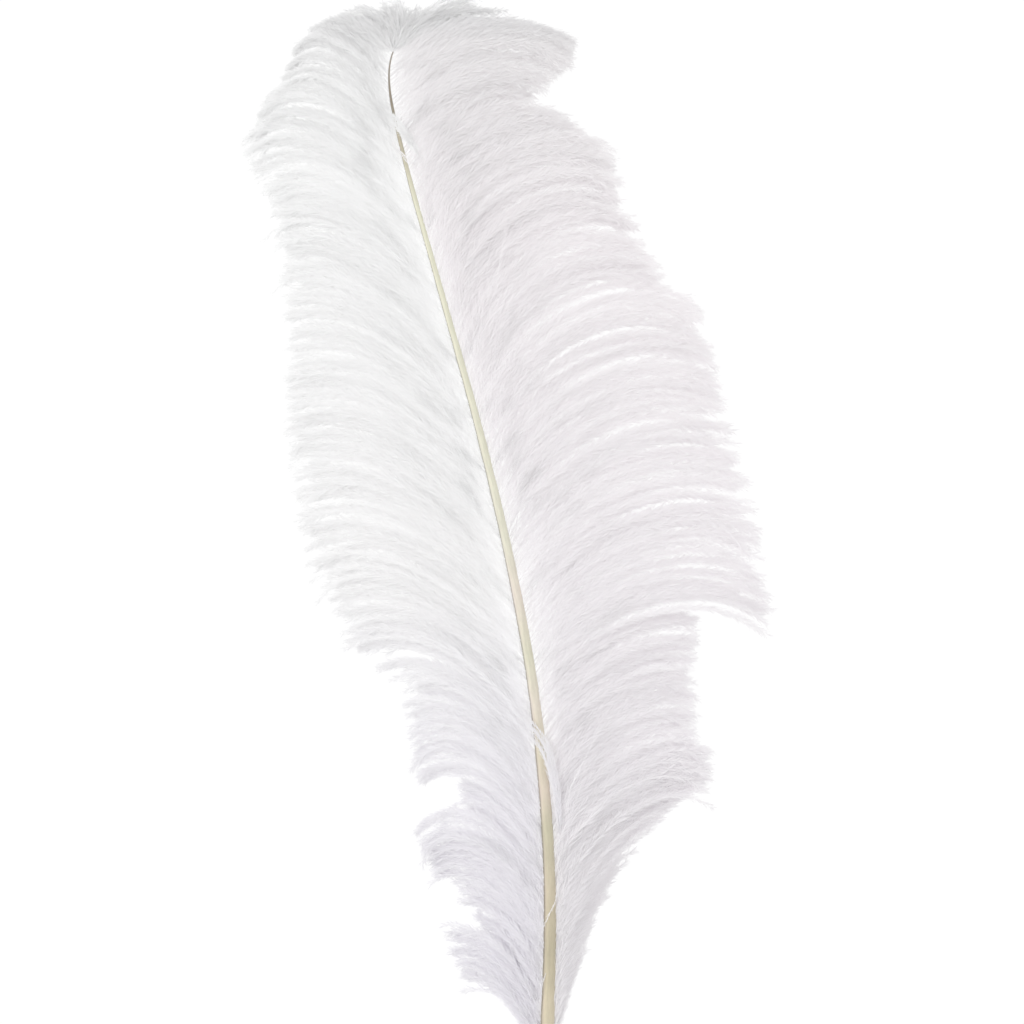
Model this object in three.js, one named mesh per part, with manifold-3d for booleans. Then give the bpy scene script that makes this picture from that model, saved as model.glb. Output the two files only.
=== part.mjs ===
// Quill pen made from one white ostrich plume: a hollow barrel cut to a nib, a curved shaft with a
// pith core, and a soft vane of barbs that lie together in locks.
// Millimetres, +Z up. The pen stands on its nib with the plume's smooth face towards -Y and its
// grooved back towards +Y. The origin is on the barrel's axis, level with the writing tip.

import * as THREE from "three";
import { mergeVertices } from "three/addons/utils/BufferGeometryUtils.js";
import Module from "manifold-3d";

const wasm = await Module();
wasm.setup();

const GAP = 0.3; // clearance between neighbouring pieces

// Barrel and nib
const BARREL_LENGTH = 60;
const BARREL_RADIUS = 2.8;
const BARREL_TOP_RADIUS = 2.45;
const BARREL_WALL = 0.5;
const BARREL_SIDES = 32;
const SCOOP_TOP = 31; // height where the long slanting cut leaves the back of the barrel
const SCOOP_THROAT = 15; // height where the cut has reached the nib's depth
const SCOOP_TOP_PULL = 5; // how far the sweep runs on downwards at its top
const SCOOP_THROAT_PULL = 6; // and upwards at the throat
const NIB_DEPTH = 1.3; // how far in front of the barrel's axis the nib's edges lie at the throat
const NIB_RAKE = 0.3; // how much deeper the cut lies at the tip
const SHOULDER_TOP = 15;
const SHOULDER_BOTTOM = 8;
const SHOULDER_ROUND = 3; // height of the rounded corner under each shoulder
const NIB_WIDTH = 2.4; // just below the shoulders
const TIP_WIDTH = 1.3; // at the square writing tip
const SLIT_HEIGHT = 11;
const SLIT_WIDTH = 0.12;
const CUT_PAST = 1; // how far a cutter runs past what it cuts
const CURVE_SEGMENTS = 10;

// Shaft: its centreline above the barrel, leaning left and then curling over to the back
const SHAFT_ROUTE = [
  [0, 0, BARREL_LENGTH],
  [1.1, -3, 125],
  [-3.4, -6, 183],
  [-10.9, -7, 228],
  [-22.8, -7, 280],
  [-37.4, -5, 333],
  [-49, 0, 375],
  [-55, 8, 403],
  [-54.5, 13, 414],
  [-50, 20, 424],
];
const SHAFT_SIDES = 16;
const SHAFT_STEPS = 40;
const SHAFT_TAPER = 0.72; // the half width falls as this power of the distance left to the tip
const SHAFT_TIP_RADIUS = 0.22;
const SHAFT_WALL = 0.55;
const TENON_DEPTH = 6; // how far the shaft's foot reaches down into the barrel
const CAVITY_TOP = 300; // distance along the pen where the shaft's hollow ends
const CAVITY_TAPER = 0.6;
const PITH_TOP = 260;
const PITH_SIDES = 10;
const PITH_STEPS = 12;
const GROOVE_DEPTH = 0.35; // share of the half width
const GROOVE_WIDTH = 0.4; // share of the half width
const GROOVE_FADE = 20; // length over which the groove starts above the barrel

const PULP_CAP_HEIGHTS = [38, 43, 48];
const PULP_CAP_THICKNESS = 0.35;
const PULP_CAP_BULGE = 1.2; // of the dome, downwards
const PULP_CAP_RIM = 1.6;
const PULP_CAP_SIDES = 16;

// Vane. A parting is where one lock ends and the next begins, listed from the lowest up:
// [distance along the shaft from the writing tip, angle above level at which the barbs leave the
//  shaft, degrees by which they turn over in 100 mm, barb length just below it, and just above it].
const RIGHT_PARTINGS = [
  [62, 84, 54, 30, 30],
  [89, 81, 60, 59, 62],
  [113, 77, 92, 74, 73],
  [137, 71, 112, 68, 63],
  [164, 63, 104, 61, 61],
  [191, 57, 88, 64, 91],
  [225, 58, 74, 91, 91],
  [257, 68, 85, 92, 93],
  [289, 78, 98, 96, 88],
  [321, 84, 115, 82, 80],
  [353, 77, 120, 81, 76],
  [381, 58, 122, 56, 44],
  [411, 46, 100, 69, 68],
  [433, 22, 70, 61, 61],
];
const LEFT_PARTINGS = [
  [62, 66, 380, 38, 38],
  [80, 64, 310, 47, 31],
  [96, 64, 310, 44, 50],
  [120, 64, 300, 60, 39],
  [132, 64, 285, 43, 58],
  [158, 60, 220, 60, 51],
  [172, 52, 130, 70, 74],
  [205, 45, 86, 84, 85],
  [241, 46, 76, 87, 87],
  [275, 48, 90, 80, 78],
  [309, 49, 92, 74, 71],
  [341, 47, 130, 66, 67],
  [367, 45, 125, 71, 68],
  [391, 48, 260, 56, 52],
  [414, 50, 380, 39, 37],
  [430, 38, 600, 26, 26],
];
const RIGHT_BEND_POWER = 1; // the right barbs turn over evenly along their length
const LEFT_BEND_POWER = 2; // the left barbs turn mostly towards their tips
const BEND_STEPS = 16; // along a barb, in which its bend is summed up
const PARTING_WIDTH = 1.6; // along the shaft, between the roots of two locks
const GATHER = 1.2; // degrees in 100 mm by which a lock's outer barbs turn in towards its middle
const DROOP = 16; // how far the barbs' tips fall back behind their roots
const STRANDS_PER_LOCK = 3;
const STRAND_NOTCH = 0.05; // share of the barb length lost between two strands
const STRAND_GROOVE = 0.25; // share of the thickness lost between two strands
const STEPS_ACROSS_LOCK = 2 * STRANDS_PER_LOCK;
const STEPS_ALONG_LOCK = 8;
const VANE_ROOT_THICKNESS = 1.3; // share of the shaft's half width
const VANE_THICKNESS = 8;
const VANE_TIP_THICKNESS = 1.6;
const THICK_FROM = 0.35; // shares of the barb's length between which the vane has its full thickness
const THICK_TO = 0.6;
const TIP_FAN = [52, 108]; // degrees from level, right round to left
const TIP_LENGTH = 7;
const TIP_ROOT_THICKNESS = 1;
const TIP_LEAN = 0.3; // how far the fan falls back, as a share of its length
const STEPS_ALONG_TIP = 4;
// Wisps: [distance along the shaft, sideways place] of both ends, and width in the middle
const LOWER_WISP = { from: [160, 4], to: [184, -8], width: 6 };
const UPPER_WISP = { from: [374, 5], to: [399, -5], width: 6 };
const WISP_STANDOFF = 5; // in front of the shaft's centreline
const WISP_THICKNESS = 1;
const WISP_BOW = 1.5;
const WISP_END = 0.3; // share of the width left at the ends
const STEPS_ACROSS_WISP = 2;
const STEPS_ALONG_WISP = 10;

const HORN = { color: "#cdbf97", roughness: 0.42, metalness: 0 };
const PITH = { color: "#efe9da", roughness: 0.95, metalness: 0 };
const PULP = { color: "#ddd2b8", roughness: 0.7, metalness: 0 };
const LEFT_VANE = { color: "#f0f0ef", roughness: 0.9, metalness: 0 };
const RIGHT_VANE = { color: "#ebe6ea", roughness: 0.9, metalness: 0 };

const degrees = THREE.MathUtils.degToRad;
const { lerp, smoothstep } = THREE.MathUtils;

const pen = new THREE.Group();

function addPiece(name, geometry, look) {
  const mesh = new THREE.Mesh(geometry, new THREE.MeshStandardMaterial(look));
  mesh.name = name;
  pen.add(mesh);
}

// Moves each point of a geometry to where place(point) puts it.
function reshape(geometry, place) {
  const position = geometry.attributes.position;
  const point = new THREE.Vector3();
  for (let i = 0; i < position.count; i += 1) {
    point.fromBufferAttribute(position, i);
    const moved = place(point);
    position.setXYZ(i, moved.x, moved.y, moved.z);
  }
  geometry.computeVertexNormals();
  return geometry;
}

// A lathe turns its profile about +Y. This stands it up along +Z.
function turned(profile, sides) {
  const points = profile.map(([radius, height]) => new THREE.Vector2(radius, height));
  return new THREE.LatheGeometry(points, sides).rotateX(Math.PI / 2);
}

function toManifold(geometry) {
  const bare = geometry.clone();
  bare.deleteAttribute("normal");
  bare.deleteAttribute("uv");
  const merged = mergeVertices(bare);
  return new wasm.Manifold(
    new wasm.Mesh({
      numProp: 3,
      vertProperties: new Float32Array(merged.attributes.position.array),
      triVerts: new Uint32Array(merged.index.array),
    }),
  );
}

function fromManifold(solid) {
  const mesh = solid.getMesh();
  const geometry = new THREE.BufferGeometry();
  geometry.setAttribute("position", new THREE.BufferAttribute(mesh.vertProperties, 3));
  geometry.setIndex(new THREE.BufferAttribute(mesh.triVerts, 1));
  geometry.computeVertexNormals();
  return geometry;
}

// ---- barrel and nib ------------------------------------------------------------------------------

function barrelTube() {
  const profile = [
    [BARREL_RADIUS - BARREL_WALL, 0],
    [BARREL_RADIUS, 0],
    [BARREL_RADIUS, SCOOP_TOP],
    [BARREL_TOP_RADIUS, BARREL_LENGTH],
    [BARREL_TOP_RADIUS - BARREL_WALL, BARREL_LENGTH],
    [BARREL_RADIUS - BARREL_WALL, SCOOP_TOP],
    [BARREL_RADIUS - BARREL_WALL, 0],
  ];
  return turned(profile, BARREL_SIDES);
}

// The long slanting cut: everything behind a line that runs in from the back of the barrel in one
// sweep and then down to the tip. The shape is drawn in the YZ plane and extruded across the barrel.
function scoopCutter() {
  const clear = 2 * BARREL_RADIUS;
  const shape = new THREE.Shape();
  shape.moveTo(clear, SCOOP_TOP);
  shape.lineTo(BARREL_RADIUS, SCOOP_TOP);
  const topPull = SCOOP_TOP - SCOOP_TOP_PULL;
  const throatPull = SCOOP_THROAT + SCOOP_THROAT_PULL;
  shape.bezierCurveTo(0, topPull, -NIB_DEPTH, throatPull, -NIB_DEPTH, SCOOP_THROAT);
  shape.lineTo(-NIB_DEPTH - NIB_RAKE, -CUT_PAST);
  shape.lineTo(clear, -CUT_PAST);
  shape.closePath();
  const settings = { depth: 2 * clear, bevelEnabled: false, curveSegments: CURVE_SEGMENTS };
  const geometry = new THREE.ExtrudeGeometry(shape, settings);
  // shape x -> Y, shape y -> Z, extrusion -> X
  const axes = new THREE.Matrix4().makeBasis(
    new THREE.Vector3(0, 1, 0),
    new THREE.Vector3(0, 0, 1),
    new THREE.Vector3(1, 0, 0),
  );
  return geometry.applyMatrix4(axes).translate(-clear, 0, 0);
}

// One side cut, which leaves the shoulder and the slim nib. side is 1 for the right, -1 for the left.
function shoulderCutter(side) {
  const clear = 2 * BARREL_RADIUS;
  const edge = side * NIB_WIDTH / 2;
  const outside = side * (BARREL_RADIUS + GAP);
  const shape = new THREE.Shape();
  shape.moveTo(side * TIP_WIDTH / 2, -CUT_PAST);
  shape.lineTo(edge, SHOULDER_BOTTOM);
  shape.quadraticCurveTo(edge, SHOULDER_TOP - SHOULDER_ROUND, outside, SHOULDER_TOP);
  shape.lineTo(side * clear, SHOULDER_TOP);
  shape.lineTo(side * clear, -CUT_PAST);
  shape.closePath();
  const settings = { depth: 2 * clear, bevelEnabled: false, curveSegments: CURVE_SEGMENTS };
  // shape x -> X, shape y -> Z, extrusion -> -Y
  return new THREE.ExtrudeGeometry(shape, settings).rotateX(Math.PI / 2).translate(0, clear, 0);
}

function slitCutter() {
  const depth = 2 * BARREL_RADIUS;
  const height = SLIT_HEIGHT + CUT_PAST;
  const cutter = new THREE.BoxGeometry(SLIT_WIDTH, depth, height);
  return cutter.translate(0, -depth / 2, height / 2 - CUT_PAST);
}

function barrelAndNib() {
  const cutters = [scoopCutter(), shoulderCutter(1), shoulderCutter(-1), slitCutter()];
  let solid = toManifold(barrelTube());
  for (const cutter of cutters) {
    solid = solid.subtract(toManifold(cutter));
  }
  return fromManifold(solid);
}

// A dry membrane cup, domed towards the nib, with an open mouth above.
function pulpCap(height) {
  const radius = BARREL_TOP_RADIUS - BARREL_WALL - GAP;
  const wall = PULP_CAP_THICKNESS;
  const bottom = height - PULP_CAP_BULGE;
  const rim = height + PULP_CAP_RIM;
  const profile = [
    [0, bottom],
    [0.7 * radius, lerp(bottom, height, 0.4)],
    [radius, height + GAP],
    [radius, rim],
    [radius - wall, rim],
    [radius - wall, height + GAP + wall],
    [0.65 * radius, lerp(bottom, height, 0.4) + wall],
    [0, bottom + wall],
  ];
  return turned(profile, PULP_CAP_SIDES);
}

// ---- shaft ---------------------------------------------------------------------------------------

const shaftLine = new THREE.CatmullRomCurve3(SHAFT_ROUTE.map((place) => new THREE.Vector3(...place)));
const SHAFT_LENGTH = shaftLine.getLength();
const PEN_LENGTH = BARREL_LENGTH + SHAFT_LENGTH;
const BACK = new THREE.Vector3(0, 1, 0);

// The centre and the two cross directions of the shaft at a distance along the pen from its tip.
function shaftFrame(distance) {
  const share = THREE.MathUtils.clamp((distance - BARREL_LENGTH) / SHAFT_LENGTH, 0, 1);
  const centre = shaftLine.getPointAt(share);
  const tangent = share > 0 ? shaftLine.getTangentAt(share) : new THREE.Vector3(0, 0, 1);
  const across = BACK.clone().cross(tangent).normalize();
  const back = tangent.clone().cross(across);
  if (distance < BARREL_LENGTH) {
    centre.z = distance;
  }
  return { centre, across, back };
}

function shaftHalfWidth(distance) {
  const left = THREE.MathUtils.clamp((PEN_LENGTH - distance) / SHAFT_LENGTH, 0, 1);
  const root = BARREL_TOP_RADIUS - SHAFT_TIP_RADIUS;
  return SHAFT_TIP_RADIUS + root * left ** SHAFT_TAPER;
}

// Bends a solid turned about the Z axis along the shaft and presses the groove into its back.
function alongShaft(geometry) {
  return reshape(geometry, (point) => {
    const { centre, across, back } = shaftFrame(point.z);
    const half = shaftHalfWidth(point.z);
    const fade = smoothstep(point.z, BARREL_LENGTH, BARREL_LENGTH + GROOVE_FADE);
    const hollow = Math.exp(-((point.x / (GROOVE_WIDTH * half)) ** 2));
    const behind = smoothstep(point.y / half, 0, 1);
    const depth = point.y - fade * GROOVE_DEPTH * half * hollow * behind;
    return centre.addScaledVector(across, point.x).addScaledVector(back, depth);
  });
}

const TENON_RADIUS = BARREL_TOP_RADIUS - BARREL_WALL - GAP;
const TENON_BOTTOM = BARREL_LENGTH - TENON_DEPTH;
const SHAFT_FOOT = BARREL_LENGTH + GAP;

function cavityRadius(distance) {
  const left = (CAVITY_TOP - distance) / (CAVITY_TOP - TENON_BOTTOM);
  return (TENON_RADIUS - SHAFT_WALL) * left ** CAVITY_TAPER;
}

// The horn skin: a tenon that sits in the barrel, the long outside, and the cavity for the pith.
function shaftCortex() {
  const profile = [];
  for (let i = 0; i <= PITH_STEPS; i += 1) {
    const distance = lerp(CAVITY_TOP, TENON_BOTTOM, i / PITH_STEPS);
    profile.push([cavityRadius(distance), distance]);
  }
  profile.push([TENON_RADIUS, TENON_BOTTOM]);
  profile.push([TENON_RADIUS, SHAFT_FOOT]);
  for (let i = 0; i < SHAFT_STEPS; i += 1) {
    const distance = lerp(SHAFT_FOOT, PEN_LENGTH, i / SHAFT_STEPS);
    profile.push([shaftHalfWidth(distance), distance]);
  }
  profile.push([0, PEN_LENGTH]);
  return alongShaft(turned(profile, SHAFT_SIDES));
}

function shaftPith() {
  const bottom = TENON_BOTTOM + GAP;
  const profile = [[0, bottom]];
  for (let i = 0; i < PITH_STEPS; i += 1) {
    const distance = lerp(bottom, PITH_TOP, i / PITH_STEPS);
    profile.push([cavityRadius(distance) - GAP, distance]);
  }
  profile.push([0, PITH_TOP]);
  return alongShaft(turned(profile, PITH_SIDES));
}

// ---- vane ----------------------------------------------------------------------------------------

// A point on a barb: a flat curve in the plane of the vane, which turns over from its leaving angle
// and falls back behind the shaft. share runs from 0 at the root to 1 at the tip.
function pointOnBarb(side, barb, share) {
  const { centre, across } = shaftFrame(barb.root);
  const power = side > 0 ? RIGHT_BEND_POWER : LEFT_BEND_POWER;
  const step = (barb.length * share) / BEND_STEPS;
  centre.addScaledVector(across, side * (shaftHalfWidth(barb.root) + GAP));
  for (let i = 0; i < BEND_STEPS; i += 1) {
    const travelled = (i + 0.5) * step;
    const heading = degrees(barb.leave - barb.bend * (travelled / 100) ** power);
    centre.x += side * step * Math.cos(heading);
    centre.z += step * Math.sin(heading);
  }
  centre.y += DROOP * share * share;
  return centre;
}

// How far a place across a lock is from the middle of its strand: 0 in the middle, 1 between two.
function betweenStrands(across) {
  return (1 + Math.cos(2 * Math.PI * STRANDS_PER_LOCK * across)) / 2;
}

function vaneThickness(root, across, share) {
  const atRoot = VANE_ROOT_THICKNESS * shaftHalfWidth(root);
  const body = lerp(atRoot, VANE_THICKNESS, smoothstep(share, 0, THICK_FROM));
  const whole = lerp(body, VANE_TIP_THICKNESS, smoothstep(share, THICK_TO, 1));
  return whole * (1 - STRAND_GROOVE * betweenStrands(across));
}

// One lock: a box whose width runs up the shaft, whose length follows the barbs and whose thickness
// lies front to back, bent onto the barbs between two partings.
function lock(side, low, high) {
  const [lowRoot, lowLeave, lowBend, , lowLength] = low;
  const [highRoot, highLeave, highBend, highLength] = high;
  const box = new THREE.BoxGeometry(1, 1, 1, STEPS_ACROSS_LOCK, STEPS_ALONG_LOCK, 1);
  return reshape(box, (point) => {
    const across = point.x + 0.5;
    const share = point.y + 0.5;
    const inset = PARTING_WIDTH / 2;
    const barb = {
      root: lerp(lowRoot + inset, highRoot - inset, across),
      leave: lerp(lowLeave, highLeave, across),
      bend: lerp(lowBend - GATHER, highBend + GATHER, across),
      length: lerp(lowLength, highLength, across) * (1 - STRAND_NOTCH * betweenStrands(across)),
    };
    const place = pointOnBarb(side, barb, share);
    place.y += side * point.z * vaneThickness(barb.root, across, share);
    return place;
  });
}

function addVane(word, side, partings, look) {
  for (let i = 1; i < partings.length; i += 1) {
    const number = String(i).padStart(2, "0");
    addPiece(`${word}_lock_${number}`, lock(side, partings[i - 1], partings[i]), look);
  }
}

// The short barbs that fan out past the shaft's tip and close the vane between its two sides.
function tipLock() {
  const box = new THREE.BoxGeometry(1, 1, 1, STEPS_ACROSS_LOCK, STEPS_ALONG_TIP, 1);
  return reshape(box, (point) => {
    const angle = degrees(lerp(TIP_FAN[0], TIP_FAN[1], point.x + 0.5));
    const reach = lerp(GAP, TIP_LENGTH, point.y + 0.5);
    const { centre, back } = shaftFrame(PEN_LENGTH);
    const thickness = lerp(TIP_ROOT_THICKNESS, VANE_TIP_THICKNESS, point.y + 0.5);
    const place = centre.addScaledVector(back, point.z * thickness);
    place.x += reach * Math.cos(angle);
    place.z += reach * Math.sin(angle);
    place.y += TIP_LEAN * reach;
    return place;
  });
}

// A flat wisp of barbs that crosses the shaft's face, tapered to both ends. It starts beside the
// shaft at one distance along it and ends beyond the other side, at the given sideways places.
function crossingWisp({ from, to, width }) {
  const ends = [from, to].map(([distance, sideways]) => {
    const { centre, across } = shaftFrame(distance);
    centre.addScaledVector(across, sideways);
    centre.y -= WISP_STANDOFF;
    return centre;
  });
  const box = new THREE.BoxGeometry(1, 1, 1, STEPS_ACROSS_WISP, STEPS_ALONG_WISP, 1);
  const along = ends[1].clone().sub(ends[0]).normalize();
  const sideways = along.clone().cross(BACK).normalize();
  return reshape(box, (point) => {
    const share = point.y + 0.5;
    const arch = Math.sin(Math.PI * share);
    const swell = lerp(WISP_END, 1, arch);
    const place = ends[0].clone().lerp(ends[1], share);
    place.addScaledVector(sideways, point.x * width * swell + WISP_BOW * arch);
    place.y += point.z * WISP_THICKNESS * swell;
    return place;
  });
}

addPiece("barrel_and_nib", barrelAndNib(), HORN);
PULP_CAP_HEIGHTS.forEach((height, i) => {
  addPiece(`pulp_cap_${i + 1}`, pulpCap(height), PULP);
});
addPiece("shaft_cortex", shaftCortex(), HORN);
addPiece("shaft_pith", shaftPith(), PITH);
addVane("right", 1, RIGHT_PARTINGS, RIGHT_VANE);
addVane("left", -1, LEFT_PARTINGS, LEFT_VANE);
addPiece("tip_lock", tipLock(), LEFT_VANE);
addPiece("lower_crossing_wisp", crossingWisp(LOWER_WISP), LEFT_VANE);
addPiece("upper_crossing_wisp", crossingWisp(UPPER_WISP), LEFT_VANE);

export default pen;
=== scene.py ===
"""Quill pen made from a white ostrich plume: the looks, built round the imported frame.

Every barb of the vane is a tapered tube and carries its own barbules, so the plume is soft from all
sides. Lengths below are in millimetres, in the frame's axes, and become metres in make_mesh().
"""

import math

import bmesh
import bpy
import numpy as np
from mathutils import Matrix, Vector


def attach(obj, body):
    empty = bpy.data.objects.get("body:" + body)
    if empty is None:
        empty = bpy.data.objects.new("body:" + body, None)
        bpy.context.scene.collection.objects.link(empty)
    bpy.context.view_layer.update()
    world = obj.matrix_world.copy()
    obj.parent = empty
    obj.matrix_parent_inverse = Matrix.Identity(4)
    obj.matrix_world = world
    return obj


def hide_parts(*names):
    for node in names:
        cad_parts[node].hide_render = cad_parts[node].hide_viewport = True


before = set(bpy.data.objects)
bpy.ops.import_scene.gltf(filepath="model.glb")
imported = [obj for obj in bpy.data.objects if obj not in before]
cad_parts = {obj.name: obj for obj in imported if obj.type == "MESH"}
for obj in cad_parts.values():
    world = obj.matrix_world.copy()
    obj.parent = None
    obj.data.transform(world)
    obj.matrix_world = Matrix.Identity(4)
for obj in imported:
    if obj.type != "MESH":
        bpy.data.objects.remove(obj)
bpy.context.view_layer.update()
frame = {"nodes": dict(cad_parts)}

MM = 0.001
BACK = np.array([0.0, 1.0, 0.0])

# Barrel and nib, as in the frame
BARREL_LENGTH = 60
BARREL_TOP_RADIUS = 2.45
BARREL_WALL = 0.5
TENON_DEPTH = 6
GAP = 0.3

# Shaft, as in the frame
SHAFT_ROUTE = np.array([
    (0, 0, BARREL_LENGTH),
    (1.1, -3, 125),
    (-3.4, -6, 183),
    (-10.9, -7, 228),
    (-22.8, -7, 280),
    (-37.4, -5, 333),
    (-49, 0, 375),
    (-55, 8, 403),
    (-54.5, 13, 414),
    (-50, 20, 424),
], float)
SHAFT_TAPER = 0.72
SHAFT_TIP_RADIUS = 0.22

# Vane, as in the frame: distance along the shaft, leaving angle, degrees of bend in 100 mm, barb
# length below the parting and above it
RIGHT_PARTINGS = [
    (62, 84, 54, 30, 30),
    (89, 81, 60, 59, 62),
    (113, 77, 92, 74, 73),
    (137, 71, 112, 68, 63),
    (164, 63, 104, 61, 61),
    (191, 57, 88, 64, 91),
    (225, 58, 74, 91, 91),
    (257, 68, 85, 92, 93),
    (289, 78, 98, 96, 88),
    (321, 84, 115, 82, 80),
    (353, 77, 120, 81, 76),
    (381, 58, 122, 56, 44),
    (411, 46, 100, 69, 68),
    (433, 22, 70, 61, 61),
]
LEFT_PARTINGS = [
    (62, 66, 380, 38, 38),
    (80, 64, 310, 47, 31),
    (96, 64, 310, 44, 50),
    (120, 64, 300, 60, 39),
    (132, 64, 285, 43, 58),
    (158, 60, 220, 60, 51),
    (172, 52, 130, 70, 74),
    (205, 45, 86, 84, 85),
    (241, 46, 76, 87, 87),
    (275, 48, 90, 80, 78),
    (309, 49, 92, 74, 71),
    (341, 47, 130, 66, 67),
    (367, 45, 125, 71, 68),
    (391, 48, 260, 56, 52),
    (414, 50, 380, 39, 37),
    (430, 38, 600, 26, 26),
]
BEND_POWER = {1: 1, -1: 2}  # the right barbs turn over evenly, the left ones mostly at their tips
DROOP = 16  # how far the barbs' tips fall back

# Barbs, and how much they differ from their neighbours
BARB_SPACING = 0.66  # along the shaft
BARB_STEPS = 16
BARB_RADIUS = 0.11
CLUMP_SIZES = (3, 9)
ANGLE_SPREAD = 1.0
BEND_SPREAD = 0.035
LENGTH_SPREAD = 0.05
STRAY_SHARE = 0.05
STRAY_ANGLE = 9

BARBULE_SPACING = 0.29  # along the barb, on each side of it
BARBULE_LENGTH = 6.4
BARBULE_RADIUS = 0.068
BARBULE_ANGLE = 17

# Barbs that lie on the plume's face, each a route of (distance along the shaft, sideways place,
# how far in front of the shaft's face)
STRAY_BARBS = {
    "left_lock_01": [[(92, -1.0, 0.2), (87, -2.4, 0.6), (80, -3.2, 0.4)]],
    "right_lock_03": [[(124, 3.0, 0.3), (118, 1.9, 0.7), (112, -0.8, 0.7), (105, -3.4, 0.3)]],
    "right_lock_04": [[(151, 7, 0.5), (160, 10, 1.4), (168, 15, 1.2), (177, 21, 0.2)]],
    "right_lock_10": [[(333, 20, 0.5), (341, 24, 1.2), (350, 28, 0.2)]],
    "right_lock_11": [
        [(374, 4.6, -0.5), (381, 1.8, 0.6), (386, -0.8, 0.8), (393, -4.4, 0.2)],
        [(376, 4.8, -0.5), (383, 1.6, 0.7), (389, -1.6, 0.8), (397, -6.0, 0.2)],
        [(372, 4.2, -0.5), (379, 1.8, 0.6), (385, -0.4, 0.7), (391, -3.6, 0.2)],
    ],
}
LOWER_WISP = [(144, 4.6, -1.6), (160, 3.9, 0.0), (174, 1.2, 0.9), (187, -8, 0.4)]
UPPER_WISP = [(380, 6.5, -1.0), (390, 3.0, 0.5), (398, -0.5, 0.8), (408, -7, 0.2)]
# Barbs round the shaft's tip: side, number, leaving angle and its spread, greatest length, degrees
# of bend in 100 mm
TIP_STRETCH = 11
TIP_DROOP = 9
TIP_BARBS = [
    (1, 70, 28, 9, 38, 110),
    (1, 90, 64, 18, 15, 380),
    (-1, 110, 74, 20, 14, 260),
    (-1, 60, 42, 10, 28, 190),
]
# Locks whose tips curl in tight, separate clumps: 1 is the most
CURLY = {"left_lock_12": 0.4, "left_lock_13": 0.8, "left_lock_14": 1.0, "left_lock_15": 0.8}


# ---- meshes --------------------------------------------------------------------------------------

def make_mesh(name, solids, material, node, smooth_shaded=False):
    """A piece from solids, each (vertices, triangles, marks). A mark is three numbers per vertex,
    which the materials read."""
    vertices, triangles, marks, start = [], [], [], 0
    for solid_vertices, solid_triangles, solid_marks in solids:
        vertices.append(solid_vertices)
        triangles.append(solid_triangles + start)
        marks.append(solid_marks)
        start += len(solid_vertices)
    vertices, triangles, marks = (np.concatenate(part) for part in (vertices, triangles, marks))
    mesh = bpy.data.meshes.new(name)
    mesh.vertices.add(len(vertices))
    mesh.vertices.foreach_set("co", (vertices * MM).astype(np.float32).ravel())
    mesh.loops.add(triangles.size)
    mesh.loops.foreach_set("vertex_index", triangles.astype(np.int32).ravel())
    mesh.polygons.add(len(triangles))
    mesh.polygons.foreach_set("loop_start", np.arange(0, triangles.size, 3, dtype=np.int32))
    mesh.polygons.foreach_set("use_smooth", np.full(len(triangles), smooth_shaded))
    mesh.update(calc_edges=True)
    layer = mesh.attributes.new("mark", "FLOAT_VECTOR", "POINT")
    layer.data.foreach_set("vector", marks.astype(np.float32).ravel())
    mesh.materials.append(material)
    piece = bpy.data.objects.new(name, mesh)
    bpy.context.scene.collection.objects.link(piece)
    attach(piece, "root")
    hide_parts(node)
    return piece


def unit(vectors):
    return vectors / np.maximum(np.linalg.norm(vectors, axis=-1, keepdims=True), 1e-9)


def cross_directions(along):
    first = unit(np.cross(along, BACK + 1e-3))
    return first, np.cross(along, first)


def copies(pattern, count, size):
    """The triangles of count copies of a small solid with size vertices."""
    return (np.array(pattern)[None] + (np.arange(count) * size)[:, None, None]).reshape(-1, 3)


def tubes(lines, radii, marks, sides):
    """Closed tubes along lines (count, rings, 3), flat at the first ring and ending in a point."""
    count, rings, _ = lines.shape
    first, second = cross_directions(unit(np.gradient(lines, axis=1)))
    turn = 2 * math.pi * np.arange(sides) / sides
    ring = first[:, :, None] * np.cos(turn)[:, None] + second[:, :, None] * np.sin(turn)[:, None]
    skin = lines[:, :-1, None] + ring[:, :-1] * radii[:, :-1, None, None]
    vertices = np.concatenate([skin.reshape(count, -1, 3), lines[:, -1:]], axis=1)
    skin_marks = np.repeat(marks[:, :-1], sides, axis=1)
    vertex_marks = np.concatenate([skin_marks, marks[:, -1:]], axis=1)
    pattern = [(0, k + 1, k) for k in range(1, sides - 1)]
    point = sides * (rings - 1)
    for i in range(rings - 1):
        for k in range(sides):
            a, b = i * sides + k, i * sides + (k + 1) % sides
            if i == rings - 2:
                pattern.append((a, b, point))
            else:
                pattern += [(a, b, b + sides), (a, b + sides, a + sides)]
    triangles = copies(pattern, count, point + 1)
    return vertices.reshape(-1, 3), triangles, vertex_marks.reshape(-1, 3)


NEEDLE = [(0, 2, 1), (3, 1, 2), (0, 1, 3), (0, 3, 2)]


def needles(start, end, radius, marks):
    """Closed needles of four faces: a point at each end and a ridge at each side of the middle."""
    wide, deep = cross_directions(unit(end - start))
    middle = 0.55 * start + 0.45 * end + deep * radius[:, None]
    side = wide * radius[:, None]
    vertices = np.stack([start, middle + side, middle - side, end], axis=1)
    return vertices.reshape(-1, 3), copies(NEEDLE, len(start), 4), np.repeat(marks, 4, axis=0)


# ---- shaft line ----------------------------------------------------------------------------------

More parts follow.
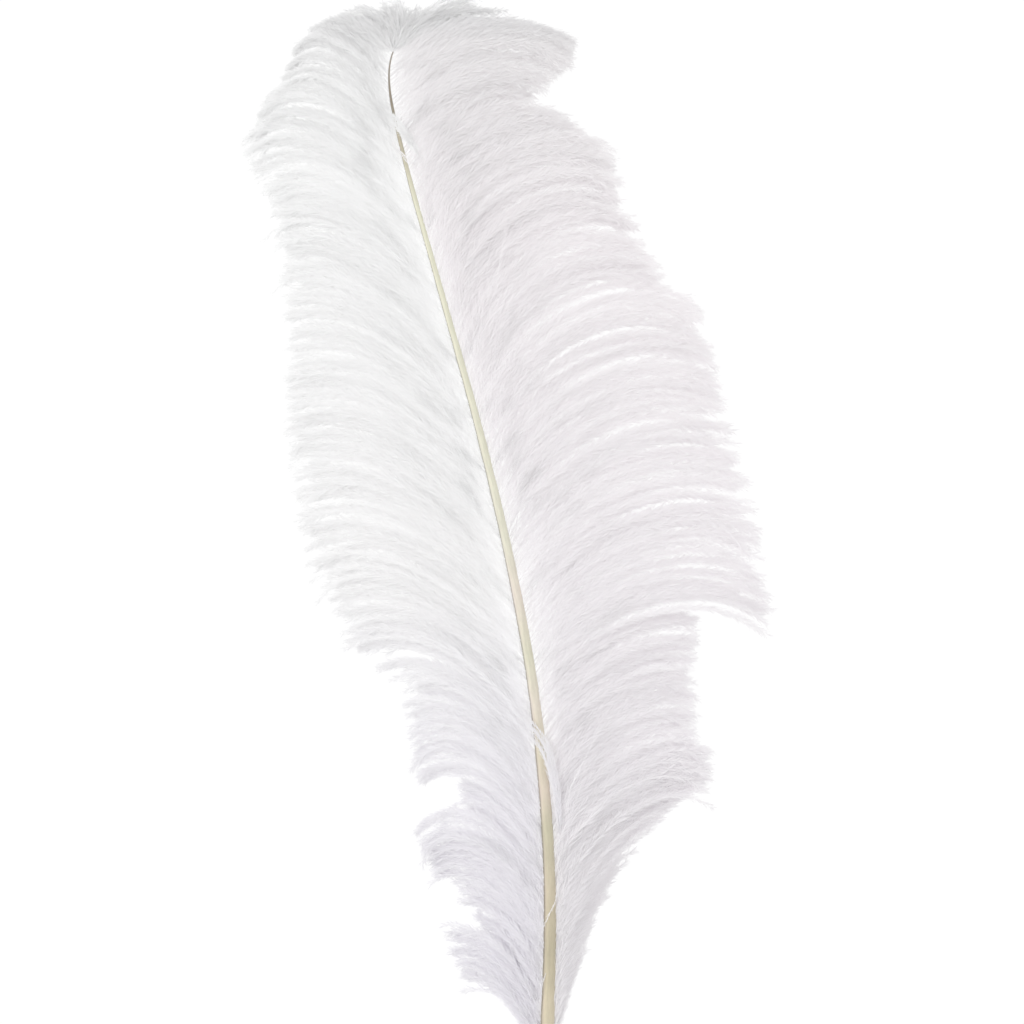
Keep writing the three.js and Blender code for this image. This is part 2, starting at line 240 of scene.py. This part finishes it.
def through(points, steps):
    """A centripetal Catmull-Rom curve through points."""
    ends = np.vstack([2 * points[0] - points[1], points, 2 * points[-1] - points[-2]])
    pieces = []
    for p0, p1, p2, p3 in zip(ends, ends[1:], ends[2:], ends[3:]):
        t0 = 0.0
        t1 = t0 + np.linalg.norm(p1 - p0) ** 0.5
        t2 = t1 + np.linalg.norm(p2 - p1) ** 0.5
        t3 = t2 + np.linalg.norm(p3 - p2) ** 0.5
        t = np.linspace(t1, t2, steps, endpoint=False)[:, None]
        a1 = (t1 - t) / (t1 - t0) * p0 + (t - t0) / (t1 - t0) * p1
        a2 = (t2 - t) / (t2 - t1) * p1 + (t - t1) / (t2 - t1) * p2
        a3 = (t3 - t) / (t3 - t2) * p2 + (t - t2) / (t3 - t2) * p3
        b1 = (t2 - t) / (t2 - t0) * a1 + (t - t0) / (t2 - t0) * a2
        b2 = (t3 - t) / (t3 - t1) * a2 + (t - t1) / (t3 - t1) * a3
        pieces.append((t2 - t) / (t2 - t1) * b1 + (t - t1) / (t2 - t1) * b2)
    return np.vstack([*pieces, points[-1:]])


LINE = through(SHAFT_ROUTE, 60)
LINE_DISTANCE = BARREL_LENGTH + np.r_[0, np.cumsum(np.linalg.norm(np.diff(LINE, axis=0), axis=1))]
LINE_TANGENT = unit(np.gradient(LINE, axis=0))
PEN_LENGTH = LINE_DISTANCE[-1]
SHAFT_LENGTH = PEN_LENGTH - BARREL_LENGTH


def along_line(distance, values):
    return np.stack([np.interp(distance, LINE_DISTANCE, values[:, k]) for k in range(3)], axis=-1)


def shaft_frame(distance):
    """Centre, and the directions across and back, at distances from the writing tip."""
    distance = np.asarray(distance, float)
    centre = along_line(distance, LINE)
    centre[..., 2] += np.minimum(distance - BARREL_LENGTH, 0)
    tangent = unit(along_line(distance, LINE_TANGENT))
    across = unit(np.cross(BACK, tangent))
    return centre, across, np.cross(tangent, across)


def shaft_half_width(distance):
    left = np.clip((PEN_LENGTH - distance) / SHAFT_LENGTH, 0, 1)
    return SHAFT_TIP_RADIUS + (BARREL_TOP_RADIUS - SHAFT_TIP_RADIUS) * left**SHAFT_TAPER


# ---- vane ----------------------------------------------------------------------------------------

def smooth(value, low, high):
    t = np.clip((value - low) / (high - low), 0, 1)
    return t * t * (3 - 2 * t)


SHARE = np.linspace(0, 1, BARB_STEPS + 1)


def barb_lines(start, side, power, leave, bend, length, curl):
    """Flat curves from start (count, 3) as (count, steps + 1, 3), side 1 right or -1 left. curl is
    how many degrees more the last third turns."""
    middle = (SHARE[1:] + SHARE[:-1]) / 2
    heading = leave[:, None] - bend[:, None] * (length[:, None] / 100 * middle) ** power
    heading = np.radians(heading - curl[:, None] * smooth(middle, 0.65, 1.0))
    step = (length / BARB_STEPS)[:, None]
    lines = np.repeat(start[:, None], BARB_STEPS + 1, axis=1)
    lines[:, 1:, 0] += np.cumsum(side * np.cos(heading) * step, axis=1)
    lines[:, 1:, 2] += np.cumsum(np.sin(heading) * step, axis=1)
    return lines


def clumps(count, rng):
    """The number of the clump that each of count neighbouring barbs belongs to."""
    sizes = rng.integers(*CLUMP_SIZES, count)
    return np.repeat(np.arange(count), sizes)[:count]


def cling(lines, rng, pull, depth):
    """Draws the barbs of each clump together towards their tips and sets clumps before or behind
    each other."""
    clump = clumps(len(lines), rng)
    for number in np.unique(clump):
        members = clump == number
        heart = lines[members].mean(axis=0)
        share_of_pull = (rng.uniform(*pull) * SHARE**1.4)[None, :, None]
        lines[members] += (heart - lines[members]) * share_of_pull
        lines[members, :, 1] += rng.normal(0, depth) * smooth(SHARE, 0, 0.5)


def wander(lines, rng, sideways, deep):
    """A slow random wave along each barb, in the vane's plane and across it."""
    count = len(lines)
    phase = rng.uniform(0, 2 * math.pi, (count, 1))
    wave = np.sin(phase + SHARE * rng.uniform(3, 9, (count, 1))) * smooth(SHARE, 0, 0.3)
    lines[..., 2] += rng.normal(0, sideways, (count, 1)) * wave
    lines[..., 1] += rng.normal(0, deep, (count, 1)) * wave + rng.normal(0, deep, (count, 1)) * SHARE


def lock_barbs(side, low, high, curly, rng):
    """The barbs between two partings: lines, lengths and roots."""
    span = high[0] - low[0]
    count = round(span / BARB_SPACING)
    across = (np.arange(count) + rng.uniform(0, 1, count)) / count
    root = low[0] + span * across
    leave = low[1] + (high[1] - low[1]) * across + rng.normal(0, ANGLE_SPREAD, count)
    bend = (low[2] + (high[2] - low[2]) * across) * rng.normal(1, BEND_SPREAD, count)
    length = low[4] + (high[3] - low[4]) * across
    length = length * (1.03 - np.abs(rng.normal(0, LENGTH_SPREAD, count)))
    stray = rng.uniform(0, 1, count) < STRAY_SHARE
    leave = leave + stray * rng.normal(0, STRAY_ANGLE, count)
    curl = np.abs(rng.normal(0, 10 + 25 * curly, count)) + stray * 20
    centre, cross, back = shaft_frame(root)
    half = shaft_half_width(root)[:, None]
    front = rng.uniform(-0.35, 0.45, (count, 1))
    start = centre + cross * side * half * 0.85 - back * half * front
    lines = barb_lines(start, side, BEND_POWER[side], leave, bend, length, curl)
    lines[..., 1] += DROOP * SHARE**2
    cling(lines, rng, (0.5 * curly, 0.06 + 0.8 * curly), 0.55 + 1.7 * curly)
    wander(lines, rng, 0.4, 0.6)
    return lines, length, root


def barbules(lines, length, marks, fluff, rng):
    """Needles along both sides of every barb, looser towards its tip. fluff is how many and how long
    they are, 1 for the vane."""
    per_barb = np.maximum(2, np.round(2 * fluff * length / BARBULE_SPACING)).astype(int)
    barb = np.repeat(np.arange(len(lines)), per_barb)
    count = len(barb)
    share = np.concatenate([(np.arange(n) + rng.uniform(0, 1, n)) / n for n in per_barb])
    share = np.minimum(share**0.75, 0.999)
    index = (share * BARB_STEPS).astype(int)
    part = (share * BARB_STEPS - index)[:, None]
    start = lines[barb, index] * (1 - part) + lines[barb, index + 1] * part
    along = unit(lines[barb, index + 1] - lines[barb, index])
    flat = unit(np.cross(along, BACK))
    loose = smooth(share, 0.2, 0.9)
    roll = (rng.normal(0, 1, count) * np.radians(32 + 12 * loose))[:, None]
    outward = flat * rng.choice([-1.0, 1.0], count)[:, None] * np.cos(roll) + BACK * np.sin(roll)
    reach = BARBULE_LENGTH * fluff * (0.5 + 0.5 * smooth(share, 0, 0.15)) * (1 - 0.3 * loose)
    reach = (reach * rng.uniform(0.6, 1.2, count))[:, None]
    leave = rng.normal(BARBULE_ANGLE, 7, count) + loose * rng.normal(5, 6, count)
    leave = np.radians(leave)[:, None]
    end = start + reach * (along * np.cos(leave) + outward * np.sin(leave))
    radius = BARBULE_RADIUS * rng.uniform(0.7, 1.2, count)
    tone = marks[barb, 0] * [0, 1, 1] + share[:, None] * [1, 0, 0]
    return needles(start, end, radius, tone)


def plumage(lines, length, root, rng, fluff=1.0):
    """Barbs and their barbules. Marks: share along the barb, place of its root, its own number."""
    count = len(lines)
    marks = np.empty((count, BARB_STEPS + 1, 3))
    marks[..., 0] = SHARE
    marks[..., 1] = (root / PEN_LENGTH)[:, None]
    marks[..., 2] = rng.uniform(0, 1, (count, 1))
    thick = BARB_RADIUS * (1 - 0.75 * SHARE) * rng.uniform(0.7, 1.2, (count, 1))
    return [tubes(lines, thick, marks, 4), barbules(lines, length, marks, fluff, rng)]


def add_vane(word, side, partings, material, seed):
    for i, (low, high) in enumerate(zip(partings, partings[1:]), start=1):
        node = f"{word}_lock_{i:02d}"
        rng = np.random.default_rng(seed + i)
        curly = CURLY.get(node, 0.0)
        solids = plumage(*lock_barbs(side, low, high, curly, rng), rng, fluff=1 - 0.25 * curly)
        if node in STRAY_BARBS:
            solids += stray_barbs(STRAY_BARBS[node], rng)
        make_mesh(node + "_barbs", solids, material, node)


def add_tip(material):
    """The short barbs that spread from the shaft's last stretch over both sides and roll back."""
    rng = np.random.default_rng(300)
    solids = []
    for side, count, leave, spread, longest, bend in TIP_BARBS:
        root = PEN_LENGTH - rng.uniform(0.2, TIP_STRETCH, count)
        length = rng.uniform(0.45, 1, count) * longest
        curl = np.abs(rng.normal(0, 15, count))
        start, _, _ = shaft_frame(root)
        angles = rng.normal(leave, spread, count)
        lines = barb_lines(start, side, 1, angles, rng.normal(bend, 0.2 * bend, count), length, curl)
        lines[..., 1] += TIP_DROOP * SHARE**2
        wander(lines, rng, 0.3, 0.6)
        solids += plumage(lines, length, root, rng, fluff=0.8)
    make_mesh("tip_barbs", solids, material, "tip_lock")


def hair_lines(route, count, spread, rng):
    """Hairs that follow a route of (distance along the shaft, sideways place, how far they lie in
    front of the shaft's face)."""
    places = []
    for distance, sideways, front in route:
        centre, across, back = shaft_frame(distance)
        places.append(centre + across * sideways - back * (shaft_half_width(distance) + front))
    curve = through(np.array(places), 40)
    heart = curve[np.round(SHARE * (len(curve) - 1)).astype(int)]
    lines = np.repeat(heart[None], count, axis=0)
    lines[..., 0] += rng.normal(0, spread, (count, 1)) * (0.5 + SHARE)
    lines[..., 1] -= rng.uniform(0, 0.5, (count, 1)) * np.sin(math.pi * SHARE)
    lines[..., 2] += rng.normal(0, 1.6, (count, 1))
    wander(lines, rng, 0.3, 0.2)
    return lines


def stray_barbs(routes, rng):
    """Single barbs, almost bare, on the face of the plume."""
    lines = np.concatenate([hair_lines(route, 1, 0, rng) for route in routes])
    length = np.linalg.norm(lines[:, -1] - lines[:, 0], axis=1)
    root = np.array([float(route[0][0]) for route in routes])
    return plumage(lines, length, root, rng, fluff=0.3)


def add_wisp(node, route, count, spread, material, seed):
    rng = np.random.default_rng(seed)
    lines = hair_lines(route, count, spread, rng)
    length = np.full(count, np.linalg.norm(lines[0, -1] - lines[0, 0]))
    root = np.full(count, float(route[0][0]))
    solids = plumage(lines, length, root, rng, fluff=0.45)
    make_mesh(node + "_barbs", solids, material, node)


# ---- shaft ---------------------------------------------------------------------------------------

SHAFT_RINGS = 190
SHAFT_SIDES = 28
GROOVE_DEPTH = 0.35  # shares of the half width, as in the frame
GROOVE_WIDTH = 0.4
GROOVE_FADE = 20
TENON_RADIUS = BARREL_TOP_RADIUS - BARREL_WALL - GAP
SHAFT_FOOT = BARREL_LENGTH + 0.03


def add_shaft(material):
    """The horn skin: a tenon in the barrel and the long tapered outside, grooved along its back.
    Marks: share of the way round from the right edge over the back, place along the pen."""
    distance = np.r_[
        BARREL_LENGTH - TENON_DEPTH, SHAFT_FOOT, np.linspace(SHAFT_FOOT, PEN_LENGTH - 0.4, SHAFT_RINGS)
    ]
    half = shaft_half_width(distance) * (1 - 0.35 * smooth(distance, 380, 425))
    half[:2] = TENON_RADIUS
    rng = np.random.default_rng(500)
    knots = rng.normal(0, 0.025, 80)
    half[2:] *= 1 + np.interp(distance[2:], np.linspace(SHAFT_FOOT, PEN_LENGTH, 80), knots)
    centre, across, back = shaft_frame(distance)
    turn = 2 * math.pi * np.arange(SHAFT_SIDES) / SHAFT_SIDES
    x, y = np.cos(turn), np.sin(turn)
    hollow = np.exp(-((x / GROOVE_WIDTH) ** 2)) * smooth(y, 0, 1)
    fade = smooth(distance, BARREL_LENGTH, BARREL_LENGTH + GROOVE_FADE)
    depth = y - GROOVE_DEPTH * fade[:, None] * hollow
    ring = x[None, :, None] * across[:, None] + depth[:, :, None] * back[:, None]
    skin = centre[:, None] + ring * half[:, None, None]
    rings = len(distance)
    vertices = np.vstack([skin.reshape(-1, 3), centre[:1], shaft_frame(PEN_LENGTH)[0][None]])
    marks = np.zeros((len(vertices), 3))
    marks[:-2, 0] = np.tile(np.arange(SHAFT_SIDES) / SHAFT_SIDES, rings)
    marks[:-2, 1] = np.repeat(distance / PEN_LENGTH, SHAFT_SIDES)
    marks[-1, 1] = 1
    bottom, top = len(vertices) - 2, len(vertices) - 1
    triangles = []
    for k in range(SHAFT_SIDES):
        following = (k + 1) % SHAFT_SIDES
        triangles.append((bottom, following, k))
        last = (rings - 1) * SHAFT_SIDES
        triangles.append((last + k, last + following, top))
        for i in range(rings - 1):
            a, b = i * SHAFT_SIDES + k, i * SHAFT_SIDES + following
            triangles += [(a, b, b + SHAFT_SIDES), (a, b + SHAFT_SIDES, a + SHAFT_SIDES)]
    solids = [(vertices, np.array(triangles), marks)]
    make_mesh("shaft_skin", solids, material, "shaft_cortex", smooth_shaded=True)


# ---- materials -----------------------------------------------------------------------------------

class Shading:
    """A material being built: its nodes, with short words for the usual ones. mark holds the three
    numbers that make_mesh() keeps for each vertex."""

    def __init__(self, name):
        self.material = bpy.data.materials.new(name)
        self.material.use_nodes = True
        self.tree = self.material.node_tree
        self.shader = self.tree.nodes["Principled BSDF"]
        self.place = self.tree.nodes.new("ShaderNodeTexCoord").outputs["Object"]
        mark = self.tree.nodes.new("ShaderNodeAttribute")
        mark.attribute_name = "mark"
        self.mark = mark.outputs["Vector"]

    def feed(self, socket, value):
        """Gives an input a number or colour, or links it to another socket."""
        if isinstance(value, bpy.types.NodeSocket):
            self.tree.links.new(value, socket)
        else:
            socket.default_value = value

    def node(self, kind, **inputs):
        node = self.tree.nodes.new("ShaderNode" + kind)
        for key, value in inputs.items():
            self.feed(node.inputs[key.replace("_", " ")], value)
        return node

    def combined(self, kind, operation, first, second, second_socket=1):
        node = self.node(kind)
        node.operation = operation
        self.feed(node.inputs[0], first)
        self.feed(node.inputs[second_socket], second)
        return node.outputs[0]

    def part(self, vector, axis):
        return self.node("SeparateXYZ", Vector=vector).outputs[axis]

    def spread(self, value, from_low, from_high, to_low, to_high):
        node = self.node(
            "MapRange", Value=value, From_Min=from_low, From_Max=from_high, To_Min=to_low, To_Max=to_high
        )
        return node.outputs[0]

    def noise(self, vector, stretch, detail=4.0):
        scaled = self.node("Mapping", Vector=vector, Scale=stretch).outputs[0]
        return self.node("TexNoise", Vector=scaled, Scale=1.0, Detail=detail).outputs["Fac"]

    def ramp(self, value, stops):
        node = self.node("ValToRGB", Fac=value)
        elements = node.color_ramp.elements
        elements[0].position, elements[0].color = stops[0][0], (*stops[0][1], 1)
        elements[1].position, elements[1].color = stops[-1][0], (*stops[-1][1], 1)
        for position, color in stops[1:-1]:
            elements.new(position).color = (*color, 1)
        return node.outputs[0]

    def times(self, first, second):
        return self.combined("Math", "MULTIPLY", first, second)

    def scaled(self, color, factor):
        return self.combined("VectorMath", "SCALE", color, factor, "Scale")

    def tinted(self, color, tint):
        return self.combined("VectorMath", "MULTIPLY", color, tint)

    def finish(self, color, roughness):
        self.tree.links.new(color, self.shader.inputs["Base Color"])
        self.shader.inputs["Roughness"].default_value = roughness
        return self.material


# White down: (height, colour) up the vane, whose darkening at the top is painted shade where the plume
# rolls back; the painted shade of the hollows between the barbs' roots; and the factors for a barb's
# root and tip, the right barbs' darker roots being painted shade near the shaft
LEFT_DOWN = ([
    (0.0, (0.902, 0.888, 0.922)),
    (0.25, (0.956, 0.945, 0.968)),
    (0.45, (0.999, 0.996, 0.998)),
    (0.82, (0.999, 0.999, 0.999)),
    # painted shade: darker towards the top, where the plume rolls back
    (0.92, (0.955, 0.955, 0.955)),
    (1.0, (0.89, 0.888, 0.89)),
# 0.88 is the painted shade of the hollows between the roots; (1.0, 0.965) darkens the barbs towards
# their tips
], 0.88, (1.0, 0.965))
RIGHT_DOWN = ([
    (0.0, (0.999, 0.986, 0.999)),
    (0.3, (0.998, 0.982, 0.996)),
    (0.5, (0.996, 0.979, 0.991)),
    (0.8, (0.994, 0.976, 0.985)),
    # painted shade: darker towards the top, where the plume rolls back
    (0.97, (0.966, 0.954, 0.959)),
    (1.0, (0.92, 0.915, 0.92)),
# painted shade: 0.9 darkens the hollows between the roots, and (0.970, 0.990) darkens the barbs at their
# roots by the shaft
], 0.9, (0.970, 0.990))


def vane_material(name, tones, painted_pocket_shade, ends):
    """White down, from one of the sets of values above, with painted shade at the top, in the hollows
    between the barbs' roots and at the right barbs' roots.
    """
    s = Shading(name)
    height = s.spread(s.part(s.place, "Z"), 0.06, 0.43, 0, 1)
    # the ramp's darker top is painted shade where the plume rolls back
    color = s.ramp(height, tones)
    mottle = s.spread(s.noise(s.place, (70, 70, 70)), 0.3, 0.7, 0.995, 1.0)
    streak = s.spread(s.noise(s.mark, (2.5, 260, 1.5)), 0.3, 0.7, 0.99, 1.0)
    own = s.spread(s.part(s.mark, "Z"), 0, 0.3, 0.975, 1.0)
    # painted shade: darker noise patches in the hollows between the barbs' roots, faded out towards the
    # tips
    hollow = s.spread(s.noise(s.mark, (5, 75, 0)), 0.54, 0.68, 1, painted_pocket_shade)
    near = s.spread(s.part(s.mark, "X"), 0.2, 0.6, 0, 1)
    painted_root_hollow_shade = s.node("Mix", Factor=near, A=hollow, B=1.0).outputs[0]
    # painted shade: the right barbs darken towards their roots by the shaft; the left ones darken
    # towards their tips
    along = s.spread(s.part(s.mark, "X"), 0, 1, *ends)
    factor = s.times(s.times(mottle, streak), s.times(s.times(own, painted_root_hollow_shade), along))
    return s.finish(s.scaled(color, factor), 0.8)


def shaft_material():
    """Horn that is olive tan at the foot, cream higher up and grey brown at the thin end, with pinkish
    tan patches, and with painted shade over its back that deepens into a painted shadow, a dark line
    along its left edge, and a painted highlight, a pale stripe just in front of that line."""
    s = Shading("shaft horn")
    place = s.part(s.mark, "Y")
    color = s.ramp(place, [
        (0.13, (0.74, 0.67, 0.51)),
        (0.19, (0.74, 0.66, 0.49)),
        (0.23, (0.60, 0.54, 0.39)),
        (0.28, (0.70, 0.62, 0.47)),
        (0.33, (0.66, 0.62, 0.46)),
        (0.36, (0.82, 0.72, 0.60)),
        (0.39, (0.76, 0.70, 0.55)),
        (0.43, (0.86, 0.79, 0.68)),
        (0.47, (0.79, 0.77, 0.61)),
        (0.52, (0.88, 0.80, 0.70)),
        (0.56, (0.84, 0.82, 0.68)),
        (0.84, (0.84, 0.83, 0.66)),
        (0.90, (0.55, 0.50, 0.38)),
        (0.93, (0.33, 0.29, 0.23)),
        (1.0, (0.50, 0.46, 0.42)),
    ])
    around = s.part(s.mark, "X")
    # painted shadow and highlight: darker over the back, darkest along the left edge where the left
    # barbs meet the shaft, with a pale painted highlight stripe in front of it
    edge = s.ramp(around, [
        (0.0, (1.0, 1.0, 1.0)),
        (0.25, (0.80, 0.80, 0.80)),
        (0.45, (0.50, 0.50, 0.52)),
        (0.59, (0.55, 0.54, 0.57)),
        (0.63, (0.94, 0.93, 0.96)),
        (0.68, (0.93, 0.92, 0.90)),
        (0.74, (0.89, 0.89, 0.88)),
        (0.85, (0.92, 0.92, 0.91)),
        (1.0, (1.0, 1.0, 1.0)),
    ])
    grain = s.spread(s.noise(s.mark, (14, 60, 0), 5.0), 0.3, 0.7, 0.92, 1.06)
    fine = s.spread(s.noise(s.mark, (60, 260, 0), 5.0), 0.3, 0.7, 0.95, 1.03)
    return s.finish(s.scaled(s.tinted(color, edge), s.times(grain, fine)), 0.42)


def barrel_material():
    """Clear, dry horn: paler and a little glassy at the nib, with fine lengthwise fibres."""
    s = Shading("barrel horn")
    height = s.spread(s.part(s.place, "Z"), 0, 0.06, 0, 1)
    color = s.ramp(height, [
        (0.0, (0.86, 0.80, 0.62)),
        (0.25, (0.84, 0.77, 0.58)),
        (0.7, (0.80, 0.73, 0.54)),
        (1.0, (0.74, 0.66, 0.47)),
    ])
    fibres = s.spread(s.noise(s.place, (1800, 1800, 30), 5.0), 0.3, 0.7, 0.9, 1.05)
    cloud = s.spread(s.noise(s.place, (160, 160, 60), 3.0), 0.3, 0.7, 0.93, 1.04)
    return s.finish(s.scaled(color, s.times(fibres, cloud)), 0.3)


def pith_material():
    s = Shading("pith")
    cells = s.noise(s.place, (900, 900, 900), 6.0)
    color = s.ramp(cells, [(0.35, (0.80, 0.74, 0.62)), (0.65, (0.93, 0.90, 0.82))])
    return s.finish(color, 0.95)


def pulp_material():
    s = Shading("pulp")
    wrinkles = s.noise(s.place, (700, 700, 250), 5.0)
    color = s.ramp(wrinkles, [(0.3, (0.66, 0.58, 0.44)), (0.7, (0.86, 0.80, 0.68))])
    return s.finish(color, 0.7)


def dress_cad_nodes(nodes):
    """Better materials for the nodes that stay as they are in the frame."""
    nodes["barrel_and_nib"].material_slots[0].material = barrel_material()
    nodes["shaft_pith"].material_slots[0].material = pith_material()
    pulp = pulp_material()
    for number in (1, 2, 3):
        nodes[f"pulp_cap_{number}"].material_slots[0].material = pulp


# ---- stage ---------------------------------------------------------------------------------------

VIEW_WIDTH = 0.358  # metres across the frame at the pen
VIEW_CENTRE = (-0.012, 0.254)
VIEW_TARGET = (-0.01, 0, 0.25)
LENS = 200
FLOOR_RADIUS = 0.8


def add_camera():
    camera = bpy.data.objects.new("camera", bpy.data.cameras.new("camera"))
    camera.data.lens = LENS
    distance = VIEW_WIDTH * LENS / camera.data.sensor_width
    camera.location = (VIEW_CENTRE[0], -distance, VIEW_CENTRE[1])
    camera.rotation_euler = (math.pi / 2, 0, 0)
    camera.data.clip_end = 20
    bpy.context.scene.collection.objects.link(camera)
    bpy.context.scene.camera = camera


def add_floor():
    s = Shading("floor")
    shade = s.ramp(s.noise(s.place, (3, 3, 3)), [(0.3, (0.86, 0.86, 0.86)), (0.7, (0.89, 0.89, 0.89))])
    material = s.finish(shade, 0.9)
    mesh = bpy.data.meshes.new("floor")
    shape = bmesh.new()
    bmesh.ops.create_circle(shape, cap_ends=True, segments=96, radius=FLOOR_RADIUS)
    shape.to_mesh(mesh)
    shape.free()
    mesh.materials.append(material)
    floor = bpy.data.objects.new("floor", mesh)
    floor.location.z = -0.0002
    bpy.context.scene.collection.objects.link(floor)


def add_light(name, place, size, power):
    light = bpy.data.lights.new(name, "AREA")
    light.size = size
    light.energy = power
    holder = bpy.data.objects.new(name, light)
    holder.location = place
    aim = np.array(VIEW_TARGET) - np.array(place)
    holder.rotation_mode = "QUATERNION"
    holder.rotation_quaternion = Vector(aim).to_track_quat("-Z", "Y")
    bpy.context.scene.collection.objects.link(holder)


def add_world():
    """White to the camera; as a light it is a little dimmer, so that the plume shows against it."""
    world = bpy.data.worlds.new("white room")
    bpy.context.scene.world = world
    world.use_nodes = True
    nodes, links = world.node_tree.nodes, world.node_tree.links
    background = nodes["Background"]
    background.inputs["Color"].default_value = (1, 1, 1, 1)
    seen = nodes.new("ShaderNodeLightPath")
    strength = nodes.new("ShaderNodeMapRange")
    strength.inputs["To Min"].default_value = 0.82
    strength.inputs["To Max"].default_value = 1.05
    links.new(seen.outputs["Is Camera Ray"], strength.inputs["Value"])
    links.new(strength.outputs[0], background.inputs["Strength"])


scene = bpy.context.scene
scene.view_settings.view_transform = "Standard"
scene.cycles.diffuse_bounces = 12  # down is white only when light passes through many barbs
add_camera()
add_floor()
add_world()
add_light("key", (-1.2, -1.8, 0.7), 1.2, 14)

left_down = vane_material("left down", *LEFT_DOWN)
right_down = vane_material("right down", *RIGHT_DOWN)
add_vane("right", 1, RIGHT_PARTINGS, right_down, 100)
add_vane("left", -1, LEFT_PARTINGS, left_down, 200)
add_tip(left_down)
add_wisp("lower_crossing_wisp", LOWER_WISP, 12, 0.7, left_down, 400)
add_wisp("upper_crossing_wisp", UPPER_WISP, 12, 0.8, left_down, 401)
add_shaft(shaft_material())
dress_cad_nodes(frame["nodes"])
